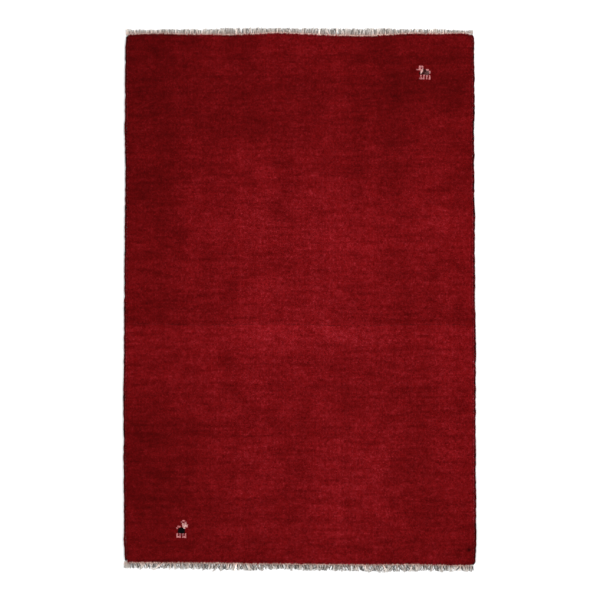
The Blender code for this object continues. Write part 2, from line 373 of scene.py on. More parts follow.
def added_up(noises):
    """The sum of soft noises over the knots, each held under its cap and then taken times its strength."""
    fields = (soft_noise(ROWS, COLUMNS, noise.reach_down, noise.reach_across, noise.seed) for noise in noises)
    return sum(noise.strength * np.minimum(field, noise.cap) for noise, field in zip(noises, fields))


wear_and_painted_light = added_up(CLOUDS)
for patch in PATCHES:
    away = ((knot_x - patch.x) / patch.wide) ** 2 + ((knot_y - patch.y) / patch.tall) ** 2
    wear_and_painted_light += patch.change * np.exp(-away)
for fold in FOLD_LIGHT_AND_SHADE:
    place = knot_x if fold.runs_along == "y" else knot_y
    wear_and_painted_light += fold.change * np.exp(-(((place - fold.at) / fold.wide) ** 2))

streaks = added_up(STREAKS)
knot_by_knot = KNOT_STRENGTH * np.clip(soft_noise(ROWS, COLUMNS, 0, 0, seed=16), KNOT_LOWEST, KNOT_HIGHEST)
tone = np.where(figured, np.exp(0.3 * wear_and_painted_light + 0.5 * knot_by_knot), np.exp(wear_and_painted_light + streaks + knot_by_knot))
frost = np.where(figured, 1.0, np.exp(1.1 * wear_and_painted_light + 1.3 * streaks + 2.8 * knot_by_knot))

print("tones run from", tone.min().round(2), "to", tone.max().round(2))

# %% [markdown]
# ## Putting arrays into meshes
#
# Every piece ends as a list of points and groups of faces. Filling Blender's mesh arrays in one go keeps a
# piece of 200,000 triangles to a fraction of a second. Small helpers then add what a finish reads: maps, one
# number a point, and one colour for each face corner.


# %% A mesh from arrays
def add_piece(name, points, face_groups, flat_groups=()):
    """A mesh object of points, and of arrays of faces that each have one row a face.

    All faces are shaded smooth, except those of the flat groups, which are given by their place in the list.
    """
    corners = np.concatenate([group.ravel() for group in face_groups])
    sizes = np.concatenate([np.full(len(group), group.shape[1]) for group in face_groups])
    smooth = np.concatenate([np.full(len(group), n not in flat_groups) for n, group in enumerate(face_groups)])
    mesh = bpy.data.meshes.new(name)
    mesh.vertices.add(len(points))
    mesh.vertices.foreach_set("co", np.ascontiguousarray(points, np.float32).ravel())
    mesh.loops.add(len(corners))
    mesh.loops.foreach_set("vertex_index", corners.astype(np.int32))
    mesh.polygons.add(len(sizes))
    mesh.polygons.foreach_set("loop_start", np.concatenate([[0], np.cumsum(sizes)[:-1]]).astype(np.int32))
    mesh.polygons.foreach_set("use_smooth", smooth)
    mesh.update(calc_edges=True)
    if mesh.validate():
        raise ValueError(name + " has faces that don't close")
    piece = bpy.data.objects.new(name, mesh)
    bpy.context.scene.collection.objects.link(piece)
    return piece


def add_map(piece, name, places):
    """A UV map from one pair of numbers for each face corner."""
    layer = piece.data.uv_layers.new(name=name)
    layer.uv.foreach_set("vector", np.ascontiguousarray(places, np.float32).ravel())


def add_numbers(piece, name, values):
    """One number for each point."""
    made = piece.data.attributes.new(name, "FLOAT", "POINT")
    made.data.foreach_set("value", np.ascontiguousarray(values, np.float32).ravel())


def add_colours(piece, name, colours):
    """One colour for each face corner, in linear light."""
    made = piece.data.color_attributes.new(name, "FLOAT_COLOR", "CORNER")
    opaque = np.concatenate([colours, np.ones((len(colours), 1))], axis=1)
    made.data.foreach_set("color", np.ascontiguousarray(opaque, np.float32).ravel())


print("helpers for pieces are ready")

# %% [markdown]
# ## The pile
#
# From above, a clipped pile is a field of soft mounds, each the cut end of a knot's two legs of wool. A
# million fibres would be too many for any file, so each knot is a low pyramid, shaded smooth, and the fibres
# come with the wool's finish. Every mound is moved a little sideways and in height, and all lean towards the
# foot, because the weaver pulls each knot down as it is tied. Over the outermost knots the field rolls down
# to the ground weave.

# %% Mounds in rows
MOUND = 1.5 * MM
TOP_UNDER_CLIP = 0.9 * MM
PROUDEST = 0.9 * MM
LOWEST = -2 * MM
LEAN_TO_FOOT = 0.6 * MM
ROLL_OVER = 4.2 * MM
END_PULL = 1.3 * MM
GROUND_HEIGHT = 2.6 * MM
ROLL_FADE = 1.25
CORNER_STRAY = 0.55 * MM
CORNER_UNEVEN = 0.35 * MM
ROW_WANDER = 1.0 * MM
TOP_STRAY = 0.6 * MM
TOP_UNEVEN = 0.5 * MM
CLIP_UNEVEN = 0.25 * MM


def rolled(steps_from_edge):
    """How far the pile has dropped near its edge: a full roll there, less by e for each 0.8 of a knot."""
    return ROLL_OVER * np.exp(-ROLL_FADE * steps_from_edge)


rng = np.random.default_rng(21)


def stray(shape):
    """Bell-shaped random numbers, none beyond 2."""
    return np.clip(rng.standard_normal(shape), -2, 2)


corner_across, corner_along = np.meshgrid(np.linspace(0, 1, COLUMNS + 1), np.linspace(0, 1, ROWS + 1))
corner_steps = np.minimum(
    np.minimum(corner_across, 1 - corner_across) * COLUMNS, np.minimum(corner_along, 1 - corner_along) * ROWS
)
inside = np.clip(corner_steps, 0, 1)
corner_x, corner_y = on_cloth(corner_across, corner_along)
corner_x = corner_x + inside * CORNER_STRAY * stray(corner_x.shape)
corner_y = corner_y * (1 - END_PULL / HEAD[1].mean()) + inside * (
    CORNER_STRAY * stray(corner_y.shape) + ROW_WANDER * soft_noise(ROWS + 1, COLUMNS + 1, 8, 25, seed=22)
)
corner_z = PILE_HEIGHT - TOP_UNDER_CLIP - MOUND - rolled(corner_steps)
corner_z = corner_z + CORNER_UNEVEN * rng.standard_normal(corner_x.shape)


def four_corners(field):
    """The mean of a field over the four corners of each knot."""
    return (field[:-1, :-1] + field[1:, :-1] + field[:-1, 1:] + field[1:, 1:]) / 4


mound_x = four_corners(corner_x) + TOP_STRAY * stray((ROWS, COLUMNS))
mound_y = four_corners(corner_y) + TOP_STRAY * stray((ROWS, COLUMNS)) - LEAN_TO_FOOT
unevenness = TOP_UNEVEN * rng.standard_normal((ROWS, COLUMNS))
unevenness = unevenness + CLIP_UNEVEN * soft_noise(ROWS, COLUMNS, 15, 15, seed=23)
mound_z = PILE_HEIGHT - TOP_UNDER_CLIP - rolled(four_corners(corner_steps))
mound_z = mound_z + np.clip(unevenness, LOWEST, PROUDEST)

print("mounds stand up to", round(mound_z.max() / MM, 1), "mm above the floor")

# %% [markdown]
# A piece is kept under 200,000 triangles, so the pile is made as two: the part above the old cross fold,
# towards the head, and the part below it. The wall between them is inside the pile and never seen, and their
# points are the same along it, so no line shows.

# %% Two fields of pile
# Painted shade in the hollows between mounds: how much their tone and frost are lowered.
HOLLOW_SHADE = 0.62
HOLLOW_FROST = 0.5
FIGURE_SHADE_IN_HOLLOWS = 0.8
WALL_DEPTH = 0.8 * MM
FOLD_ROW = nearest_knot(0, -0.068)[0]
MAP_MARGIN = 4 * MM


def round_the_rim(number):
    """The outermost points of a grid of point numbers, counter-clockwise as seen from above."""
    return np.concatenate([number[0, :-1], number[:-1, -1], number[-1, :0:-1], number[:0:-1, 0]])


def corners_of_cells(number):
    """The point numbers at the four corners of each cell of a grid, counter-clockwise as seen from above."""
    return number[:-1, :-1], number[:-1, 1:], number[1:, 1:], number[1:, :-1]


def pile_field(name, first_row, last_row):
    """One closed body: a mound for each knot from the first row up to the last, side walls and an underside.

    Points are the corners of the knots, then their tops, then the foot of the walls. The walls go round the
    outermost corners, counter-clockwise as seen from above, and turn outwards.
    """
    rows, edge_rows = slice(first_row, last_row), slice(first_row, last_row + 1)
    count = last_row - first_row
    corner = np.stack([corner_x[edge_rows], corner_y[edge_rows], corner_z[edge_rows]], axis=-1)
    top = np.stack([mound_x[rows], mound_y[rows], mound_z[rows]], axis=-1)
    number = np.arange((count + 1) * (COLUMNS + 1)).reshape(count + 1, COLUMNS + 1)
    middle = number.size + np.arange(count * COLUMNS).reshape(count, COLUMNS)
    a, b, c, d = corners_of_cells(number)
    pairs = ((a, b), (b, c), (c, d), (d, a))
    sides = [np.stack([one, two, middle], axis=-1).reshape(-1, 3) for one, two in pairs]
    mounds = np.stack(sides, axis=1).reshape(-1, 3)

    round_it = round_the_rim(number)
    wall_foot = corner.reshape(-1, 3)[round_it]
    wall_foot[:, 2] = GROUND_HEIGHT - WALL_DEPTH
    low = middle[-1, -1] + 1 + np.arange(len(round_it))
    walls = np.stack([round_it, low, np.roll(low, -1), np.roll(round_it, -1)], axis=-1)
    points = np.concatenate([corner.reshape(-1, 3), top.reshape(-1, 3), wall_foot])
    piece = add_piece(name, points, [mounds, walls, low[::-1][None]], flat_groups=(1, 2))

    around = slice(first_row, last_row + 2)
    # Painted shade: corners between mounds and the foot of the walls get a darker tone and less frost.
    shaded_hollows = {
        "tone": tone * np.where(figured, FIGURE_SHADE_IN_HOLLOWS, HOLLOW_SHADE),
        "frost": frost * np.where(figured, FIGURE_SHADE_IN_HOLLOWS, HOLLOW_FROST),
    }
    for kind, proud in (("tone", tone[rows]), ("frost", frost[rows])):
        between = four_corners(np.pad(shaded_hollows[kind], 1, mode="edge")[around]).ravel()
        add_numbers(piece, kind, np.concatenate([between, proud.ravel(), between[round_it] * HOLLOW_SHADE]))

    of_knots = np.repeat(dye[rows].reshape(-1, 3), 4 * 3, axis=0)
    of_the_rest = np.tile(MADDER, (walls.size + len(low), 1))
    add_colours(piece, "dye", np.concatenate([of_knots, of_the_rest]))

    start = np.array([-HALF_WIDTH, corner[..., 1].min()]) - MAP_MARGIN
    size = 2 * HALF_WIDTH + 2 * MAP_MARGIN
    flat = (points[:, :2] - start) / size
    out = np.sign(flat - flat.mean(axis=0)) * MAP_MARGIN / size / 2
    flat[low] += out[low]
    under = np.linspace(0.990, 0.998, len(low))
    places = [flat[mounds.ravel()], flat[walls.ravel()], np.stack([under, under**2], axis=-1)]
    add_map(piece, "OFBake", np.concatenate(places))
    return piece


foot_pile = pile_field("foot_pile", 0, FOLD_ROW)
head_pile = pile_field("head_pile", FOLD_ROW, ROWS)

for piece in (foot_pile, head_pile):
    piece.data.calc_loop_triangles()
    print(piece.name, "has", len(piece.data.loop_triangles), "triangles")

# %% [markdown]
# ## Yarns and tufts as swept tubes
#
# Everything that is spun or tied is long and thin: a tuft of pile, a side cord, a warp end, a web. Each is a
# ring of points carried along a path. One function does this for thousands of paths at once, because the
# rings are only a large sum of arrays: the path, plus an offset to the side, plus an offset upwards.


# %% Tubes from arrays
def lengthways(paths):
    """Unit direction of each path at each of its points, from the points before and after it."""
    way = np.gradient(paths, axis=1)
    return way / np.linalg.norm(way, axis=-1, keepdims=True)


def sweep(name, paths, sideways, upward, cells_across=32, rings_in_cell=None):
    """Closed tubes along many paths, whose rings have the given sideways and upward offsets.

    paths has the shape (tubes, rings, 3), and the offsets (tubes, rings, points round). A ring's point is the
    path's point plus its sideways offset along the level direction across the path, plus its upward offset
    along the direction square to both. The yarn map counts turns across and metres along. The bake map cuts
    the tubes into short lengths, and lays these side by side in cells.
    """
    tubes, rings, around = sideways.shape
    way = lengthways(paths)
    across = np.cross(np.array([0.0, 0.0, 1.0]), way)
    across /= np.linalg.norm(across, axis=-1, keepdims=True)
    up = np.cross(way, across)
    points = paths[:, :, None] + sideways[..., None] * across[:, :, None] + upward[..., None] * up[:, :, None]

    number = np.arange(tubes * rings * around).reshape(tubes, rings, around)
    after = np.roll(number, -1, axis=2)
    walls = np.stack([number[:, :-1], after[:, :-1], after[:, 1:], number[:, 1:]], axis=-1).reshape(-1, 4)
    ends = np.concatenate([number[:, 0, ::-1], number[:, -1]])
    piece = add_piece(name, points.reshape(-1, 3), [walls, ends], flat_groups=(1,))

    turn = np.arange(around)[None, None, :, None] + np.array([0, 1, 1, 0])
    run = np.concatenate(
        [np.zeros((tubes, 1)), np.cumsum(np.linalg.norm(np.diff(paths, axis=1), axis=-1), axis=1)], axis=1
    )
    ring = np.arange(rings - 1)[None, :, None, None] + np.array([0, 0, 1, 1])
    shape = (tubes, rings - 1, around, 4)
    length = np.take_along_axis(run[:, :, None, None], np.broadcast_to(ring, (tubes, rings - 1, 1, 4)), axis=1)
    yarn = np.stack([np.broadcast_to(turn / around, shape), np.broadcast_to(length, shape)], axis=-1)
    add_map(piece, "yarn", np.concatenate([yarn.reshape(-1, 2), np.zeros((ends.size, 2))]))

    in_cell = rings_in_cell or rings - 1
    cells_of_tube = -(-(rings - 1) // in_cell)
    cell = np.arange(tubes)[:, None] * cells_of_tube + np.arange(rings - 1)[None] // in_cell
    cells_down = -(-tubes * cells_of_tube // cells_across)
    first_ring = (np.arange(rings - 1) // in_cell * in_cell)[None, :, None, None]
    u = ((cell % cells_across)[:, :, None, None] + 0.04 + 0.92 * turn / around) / cells_across
    v = ((cell // cells_across)[:, :, None, None] + 0.02 + 0.96 * (ring - first_ring) / in_cell) / cells_down
    bake = np.stack([np.broadcast_to(u, shape), np.broadcast_to(v, shape)], axis=-1).reshape(-1, 2)
    ring_map = np.stack([np.cos(np.arange(around)), np.sin(np.arange(around))], axis=-1) * 0.0005
    nearest = bake.reshape(tubes, rings - 1, around * 4, 2)
    end_map = np.concatenate([nearest[:, 0].mean(axis=1), nearest[:, -1].mean(axis=1)])
    add_map(piece, "OFBake", np.concatenate([bake, (end_map[:, None] + ring_map[None]).reshape(-1, 2)]))
    return piece


def ring_offsets(radius, around):
    """Sideways and upward offsets of round rings: the cosine and the sine of the angle, times the radius."""
    angle = np.linspace(0, 2 * np.pi, around, endpoint=False)
    radius = radius[..., None]
    return radius * np.cos(angle), radius * np.sin(angle)


print("sweep is ready")

# %% [markdown]
# ## Tufts along the rim
#
# At the edge nothing holds the pile up, so the outermost tufts splay over the cord and the web, and the edge
# looks like a saw from above. Three tiers of short tapering locks are planted just inside the edge, one for
# each of a knot's two legs: the lowest tier nearly flat, the highest nearly upright. Each follows the edge's
# own outward direction, and they are longest at the ends, where the rows of knots fan out over the web.

# %% Splayed tufts
Tier = namedtuple("Tier", "height tilt length inset")
TIERS = (
    Tier(height=3.0 * MM, tilt=0.02, length=5.0 * MM, inset=2.6 * MM),
    Tier(height=5.3 * MM, tilt=0.42, length=4.9 * MM, inset=2.8 * MM),
    Tier(height=7.4 * MM, tilt=0.90, length=3.8 * MM, inset=3.2 * MM),
)
TUFT_SHARES = np.array([0.0, 0.55, 1.0])
TUFT_RADII = np.array([0.95, 1.05, 0.45]) * MM
# Painted shade and highlight: a tuft's tone is darkest at its root, inside the pile, and lightest at its tip.
TUFT_PAINTED_SHADE = np.array([0.45, 0.85, 1.15])
TUFT_SIDES = 5
TUFT_BEND = 0.12
ROOT_SPREAD = 2.4
TILT_SPREAD = 0.16
DRIFT_SPREAD = 0.28
SHADE_SPREAD = 0.16
UPWARDS = np.array([0, 0, 1.0])


def outward_of(points, reach=12):
    """Unit direction square to a closed line of points, away from what it goes round counter-clockwise."""
    way = np.roll(points, -reach, axis=0) - np.roll(points, reach, axis=0)
    way /= np.linalg.norm(way, axis=1, keepdims=True)
    return np.stack([way[:, 1], -way[:, 0]], axis=1)


EDGE_OUTWARD = outward_of(EDGE)


def at_knots(field, points):
    """A field's value at the knot that is nearest to each place."""
    column = np.clip(((points[:, 0] / HALF_WIDTH + 1) / 2 * COLUMNS).astype(int), 0, COLUMNS - 1)
    row = np.clip(((points[:, 1] + FOOT[1].mean()) / KNOT).astype(int), 0, ROWS - 1)
    return field[row, column]


def splayed_tufts():
    """Locks of three rings that start fat, bend upwards a little and end narrow."""
    rng = np.random.default_rng(31)
    paths, radii, tones, frosts = [], [], [], []
    for tier in TIERS:
        places = np.arange(rng.uniform(0, 8), len(EDGE), KNOT / 2 / EDGE_SPACING)
        count = len(places)
        places = np.clip(places + ROOT_SPREAD * rng.standard_normal(count), 0, len(EDGE) - 1).astype(int)
        outward = np.concatenate([EDGE_OUTWARD[places], np.zeros((count, 1))], axis=1)
        sideways = np.stack([-outward[:, 1], outward[:, 0], np.zeros(count)], axis=1)
        at_end = np.abs(outward[:, 1])
        tilt = tier.tilt + TILT_SPREAD * rng.standard_normal(count)
        drift = DRIFT_SPREAD * rng.standard_normal(count)
        way = outward * np.cos(tilt)[:, None] + UPWARDS * np.sin(tilt)[:, None] + sideways * drift[:, None]
        uneven = np.clip(1 + (0.20 + 0.12 * at_end) * rng.standard_normal(count), 0.4, 1.6)
        length = tier.length * (0.85 + 0.10 * at_end) * uneven
        root = np.concatenate([EDGE[places], np.full((count, 1), tier.height)], axis=1)
        root = root - outward * (tier.inset + 0.8 * END_PULL * at_end)[:, None]
        bend = TUFT_BEND * UPWARDS * (TUFT_SHARES**2)[None, :, None] * length[:, None, None]
        paths.append(root[:, None] + way[:, None] * (length[:, None] * TUFT_SHARES)[..., None] + bend)
        radii.append(TUFT_RADII * np.clip(1 + 0.12 * rng.standard_normal((count, 1)), 0.7, 1.3))
        change = SHADE_SPREAD * rng.standard_normal(count)
        tones.append((at_knots(tone, EDGE[places]) * np.exp(change))[:, None] * TUFT_PAINTED_SHADE)
        frosts.append((at_knots(frost, EDGE[places]) * np.exp(2 * change))[:, None] * TUFT_PAINTED_SHADE)
    paths, radii = np.concatenate(paths), np.concatenate(radii)
    piece = sweep("splayed_tufts", paths, *ring_offsets(radii, TUFT_SIDES), cells_across=96)
    add_numbers(piece, "tone", np.repeat(np.concatenate(tones).ravel(), TUFT_SIDES))
    add_numbers(piece, "frost", np.repeat(np.concatenate(frosts).ravel(), TUFT_SIDES))
    return piece


rim_tufts = splayed_tufts()
print("tufts along the rim:", len(rim_tufts.data.vertices) // (TUFT_SIDES * len(TUFT_SHARES)))

# %% [markdown]
# ## The ground weave
#
# Under the pile lies the real cloth: warps from end to end and two or three shots of weft after each row of
# knots. It is a closed slab between the floor and the foot of the pile. Its back shows each knot as a small
# bead.

# %% The cloth itself
GROUND_INSET = 1.2 * MM


def ground_weave(name, columns=60, rows=92):
    """A closed slab: a grid of quads on top, its mirror below, and walls between them all round."""
    shrink_x, shrink_y = GROUND_INSET / HALF_WIDTH, GROUND_INSET / HEAD[1].mean()
    x, y = on_cloth(*np.meshgrid(np.linspace(0, 1, columns + 1), np.linspace(0, 1, rows + 1)))
    x, y = x * (1 - shrink_x), y * (1 - shrink_y)
    top = np.stack([x, y, np.full_like(x, GROUND_HEIGHT)], axis=-1).reshape(-1, 3)
    low = top * np.array([1, 1, 0]) + np.array([0, 0, 0.2 * MM])
    number = np.arange(x.size).reshape(rows + 1, columns + 1)
    quads = np.stack(corners_of_cells(number), axis=-1).reshape(-1, 4)
    round_it = round_the_rim(number)
    onward = np.roll(round_it, -1)
    walls = np.stack([round_it, round_it + x.size, onward + x.size, onward], axis=-1)
    faces = [quads, quads[:, ::-1] + x.size, walls]
    return add_piece(name, np.concatenate([top, low]), faces, flat_groups=(2,))


ground = ground_weave("ground_weave")
flat_length = round(HEAD[1].mean() + FOOT[1].mean(), 3)
print("the cloth is", round(2 * HALF_WIDTH, 3), "m wide and", flat_length, "m long")

# %% [markdown]
# ## Side cords
#
# Along each side the last warps are bundled and overcast: wool is wound round and round them, which keeps the
# edge from fraying. The cord is a tube whose radius rises and falls as the winding passes. The height of one
# turn of yarn over the bundle is half a circle: the square root of one minus the square of the distance from
# its middle.

# %% Overcast cords
CORD_SWELL = 0.35 * MM
CORD_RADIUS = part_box("left_side_cord")[1].z / 2 + CORD_SWELL
CORD_GAP = 0.4 * MM
CORD_SIDES = 12
YARN_WIDTH = 2.6 * MM
YARN_RISE = 0.95 * MM
RINGS_A_TURN = 5
NEAR_A_SIDE = 0.46
SLOW_WANDER, QUICK_WANDER = 0.25 * MM, 0.40 * MM
DARK_STRETCH = 0.35


def side_cord(name, node, dark_share, seed):
    """A tube beside the cloth, wound with yarn.

    At a place t along the cord and an angle a round it, the winding stands at the part of t / width - a / 2
    pi that is left after whole turns, and the radius is the core's plus the yarn's half circle at that part.
    Close to both ends the radius is rounded off like a ball's.
    """
    rng = np.random.default_rng(seed)
    low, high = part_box(node)
    beside = (np.sign(EDGE[:, 0]) == np.sign(low.x)) & (EDGE[:, 1] > low.y) & (EDGE[:, 1] < high.y)
    beside &= np.abs(EDGE[:, 0]) > NEAR_A_SIDE
    line = (EDGE + EDGE_OUTWARD * (CORD_GAP + CORD_RADIUS))[beside]
    line = line[np.argsort(line[:, 1])]
    run = np.concatenate([[0], np.cumsum(np.linalg.norm(np.diff(line, axis=0), axis=1))])
    rings = int(run[-1] / YARN_WIDTH * RINGS_A_TURN)
    place = np.linspace(0, run[-1], rings)
    path = np.stack([np.interp(place, run, line[:, 0]), np.interp(place, run, line[:, 1])], axis=-1)
    wander = SLOW_WANDER * soft_noise(rings, 1, 30, 0, seed)[:, 0]
    wander = wander + QUICK_WANDER * soft_noise(rings, 1, 7, 0, seed + 2)[:, 0]
    path = path + np.stack([wander, 0 * wander], axis=-1)
    path = np.concatenate([path, np.full((rings, 1), CORD_RADIUS)], axis=1)

    angle = np.linspace(0, 2 * np.pi, CORD_SIDES, endpoint=False)
    turns = place[:, None] / YARN_WIDTH - angle / (2 * np.pi) + 0.15 * soft_noise(rings, 1, 12, 0, seed + 1)
    part = 2 * (turns % 1) - 1
    radius = CORD_RADIUS - YARN_RISE + YARN_RISE * np.sqrt(np.clip(1 - part**2, 0, 1))
    left_over = 1 - np.clip(np.minimum(place, run[-1] - place) / CORD_RADIUS, 0.05, 1)
    radius = radius * np.sqrt(1 - left_over**2)[:, None]
    cord = sweep(
        name,
        path[None],
        (radius * np.cos(angle))[None],
        (radius * np.sin(angle))[None],
        cells_across=8,
        rings_in_cell=60,
    )
    whole = np.floor(turns).astype(int) - int(np.floor(turns).min())
    shades = np.exp(0.22 * rng.standard_normal(whole.max() + 1))
    darker_stretches = soft_noise(len(shades), 1, 1.2, 0, seed + 3)[:, 0]
    shades[darker_stretches > np.quantile(darker_stretches, 1 - dark_share)] *= DARK_STRETCH
    # Painted shade: each turn of yarn is darker where it dips between its neighbours.
    groove_shade = 0.55 + 0.45 * np.sqrt(np.clip(1 - part**2, 0, 1))
    add_numbers(cord, "tone", shades[whole] * groove_shade)
    return cord


left_cord = side_cord("left_overcast_cord", "left_side_cord", dark_share=0.15, seed=41)
right_cord = side_cord("right_overcast_cord", "right_side_cord", dark_share=0.30, seed=45)
print("rings in a cord:", len(left_cord.data.vertices) // CORD_SIDES)

# %% [markdown]
# ## End webs
#
# Before the first row of knots and after the last one, the weaver puts in a few shots of plain weave, so that
# the knots can't slip off the warps. That leaves a narrow web, ribbed by the warps that pass through it. Its
# section is a flattened ring, and its upper side rises over each pair of warps. The dye that has bled into it
# fades at both ends.

# %% Ribbed webs
WEB_WIDTH = 4.5 * MM
WEB_TUCK = 2.4 * MM
WEB_HEIGHT = 2.6 * MM
WARP_PAIR = 4.1 * MM
WEB_SIDES = 12
WEB_STEP = 1.0 * MM
WEB_FROM_LEFT, WEB_FROM_RIGHT = 1.8 * MM, 2.8 * MM
ROUNDED_END = 3 * MM
CLEAN_END = 30 * MM


def end_line(end, x):
    """Y of the cloth's edge at one end."""
    table, way = (HEAD, 1) if end == "head" else (FOOT, -1)
    return way * np.interp(x, *table)


def end_web(end, seed):
    """A flat tube along one end of the cloth, from just under the pile to where the fringe starts.

    The section's offsets are the square roots of a circle's cosine and sine, which makes it nearly a
    rectangle with rounded corners. Its height swings with the cosine of the distance along it, once for each
    pair of warps. Height and width shrink at both ends by the square root of one minus the square of what is
    left.
    """
    low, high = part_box(end + "_fringe")
    way = 1 if end == "head" else -1
    x = np.arange(low.x + WEB_FROM_LEFT, high.x - WEB_FROM_RIGHT, WEB_STEP)
    centre = end_line(end, x) + way * (WEB_WIDTH - WEB_TUCK) / 2
    path = np.stack([x, centre, np.full_like(x, WEB_HEIGHT / 2)], axis=-1)[None]
    angle = np.linspace(0, 2 * np.pi, WEB_SIDES, endpoint=False)
    round_x = np.sign(np.cos(angle)) * np.sqrt(np.abs(np.cos(angle)))
    round_z = np.sign(np.sin(angle)) * np.sqrt(np.abs(np.sin(angle)))
    noise = soft_noise(len(x), 1, 2, 0, seed)
    left_over = 1 - np.clip(np.minimum(x - x[0], x[-1] - x) / ROUNDED_END, 0.03, 1)
    narrowed = np.sqrt(1 - left_over**2)[:, None]
    width = (WEB_WIDTH + WEB_TUCK) / 2 * (1 + 0.06 * noise) * narrowed
    rise = 0.80 + 0.12 * np.cos(2 * np.pi * x / WARP_PAIR)[:, None] + 0.04 * noise
    height = WEB_HEIGHT / 2 * np.minimum(rise, 0.98) * narrowed
    wide, tall = (width * round_x)[None], (height * round_z)[None]
    web = sweep(end + "_web", path, wide, tall, cells_across=8, rings_in_cell=40)
    from_end = np.clip(np.minimum(x - x[0], x[-1] - x) / CLEAN_END, 0, 1)
    ribs = np.exp(0.18 * soft_noise(len(x), 1, 0.9, 0, seed + 1)[:, 0]) * (0.65 + 0.35 * from_end)
    add_numbers(web, "tone", np.repeat(ribs, WEB_SIDES))
    add_numbers(web, "bleed", np.repeat(from_end, WEB_SIDES))
    return web


head_web = end_web("head", seed=51)
foot_web = end_web("foot", seed=53)
print("the webs are ready")

# %% [markdown]
# ## The fringe
#
# The fringe is the warps themselves, two for each column of knots, cut short when the rug left the loom and
# lying on the floor in a thin brush. They lie in two layers. The lower one is close, and its colour is
# darkened as painted shade. In the upper one a few strands twist round each other into a lock, and the
# painted shade of the lower layer shows between the locks: about every 5 mm at the head, and every 7 mm at
# the foot, where they also lean this way and that. Each strand is a tube whose path bends the same way as
# the solid's locks, and it is painted darker towards its root, as shade from the pile. At the left corners
# the cord's own warps end in thicker clumps.

# %% Warp ends
STRAND_RADIUS = 0.80 * MM
STRAND_SIDES = 6
LEAN = 0.34
SHARES = np.linspace(0, 1, 7)
TAPER = np.array([1.0, 1.0, 0.98, 0.96, 0.95, 0.92, 0.60])
UNDER_SPACING = 2.05 * MM
LOCK_RADIUS = 0.72 * MM
LOCK_TURN = 2.2
UPPER_REACH = 1.03
ROOT_IN_WEB = 1.2 * MM
ROOT_HEIGHT = 1.1 * MM
RISE_SHARE = 0.3
LIFT = 0.06 * MM
LAYER_HEIGHT = 1.35 * MM
CALM_SIDE = 25 * MM
SHORT_LOCKS, SHORT_LENGTH = 0.04, 0.7
Brush = namedtuple("Brush", "end start spacing strands lock_lean unrest raggedness shade under_shade seed")
BRUSHES = (
    Brush(
        "head", start=0.0, spacing=4.6 * MM, strands=2, lock_lean=0.16,
        unrest=0.08, raggedness=0.06, shade=1.0, under_shade=0.38, seed=61,
    ),
    Brush(
        "foot", start=1.7, spacing=7.2 * MM, strands=3, lock_lean=0.40,
        unrest=0.10, raggedness=0.11, shade=0.84, under_shade=0.24, seed=67,
    ),
)
Clump = namedtuple("Clump", "end x wide strands reach bow")
CLUMPS = (
    Clump("foot", x=-0.4945, wide=0.012, strands=22, reach=0.95, bow=2.0 * MM),
    Clump("head", x=-0.4925, wide=0.006, strands=8, reach=1.12, bow=0.4 * MM),
)
Roots = namedtuple("Roots", "x lock angle radius layer reach bow")


def tips_of(end):
    """How far the solid's locks reach from side to side, smoothed over a few locks."""
    points = points_of(end + "_fringe")
    return furthest(points[:, 0], np.abs(points[:, 1]), slice_width=14 * MM)


def lean_of_locks(start, x):
    """Sideways slope of the fringe: three sine waves of different lengths, added up."""
    wander = np.sin(x * 41 + start) + 0.8 * np.sin(x * 17 + 2.1 * start) + 0.6 * np.sin(x * 67)
    return LEAN * wander / 2.4


def strand_roots(brush, rng):
    """What each strand starts with: a close lower layer, twisted locks on it, and clumps at corners."""
    low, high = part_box(brush.end + "_fringe")
    under = np.arange(low.x + 5 * MM, high.x - 3 * MM, UNDER_SPACING)
    middles = np.arange(low.x + 5.5 * MM, high.x - 3.5 * MM, brush.spacing)
    middles = middles + 0.10 * brush.spacing * rng.standard_normal(len(middles))
    over = np.repeat(middles, brush.strands)
    turn = np.tile(np.arange(brush.strands) * 2 * np.pi / brush.strands, len(middles))
    turn = turn + np.repeat(rng.uniform(0, np.pi, len(middles)), brush.strands)
    lock = len(under) + np.repeat(np.arange(len(middles)), brush.strands)
    rooms = [
        Roots(under, np.arange(len(under)), 0 * under, 0 * under, 0 * under, 0 * under + 0.92, 0 * under),
        Roots(over, lock, turn, 0 * over + LOCK_RADIUS, 0 * over + 1, 0 * over + UPPER_REACH, 0 * over),
    ]
    for clump in (clump for clump in CLUMPS if clump.end == brush.end):
        place = np.linspace(-1, 1, clump.strands)
        last = lock.max() + 1 + np.arange(clump.strands)
        reach = clump.reach * (0.80 + 0.20 * np.cos(place * np.pi / 2))
        bow = np.minimum(place, 0.3) * clump.bow
        x = clump.x + clump.wide / 2 * place
        rooms.append(Roots(x, last, 0 * x, 0 * x, 1 + np.arange(clump.strands) % 2, reach, bow))
    return Roots(*(np.concatenate(column) for column in zip(*rooms)))


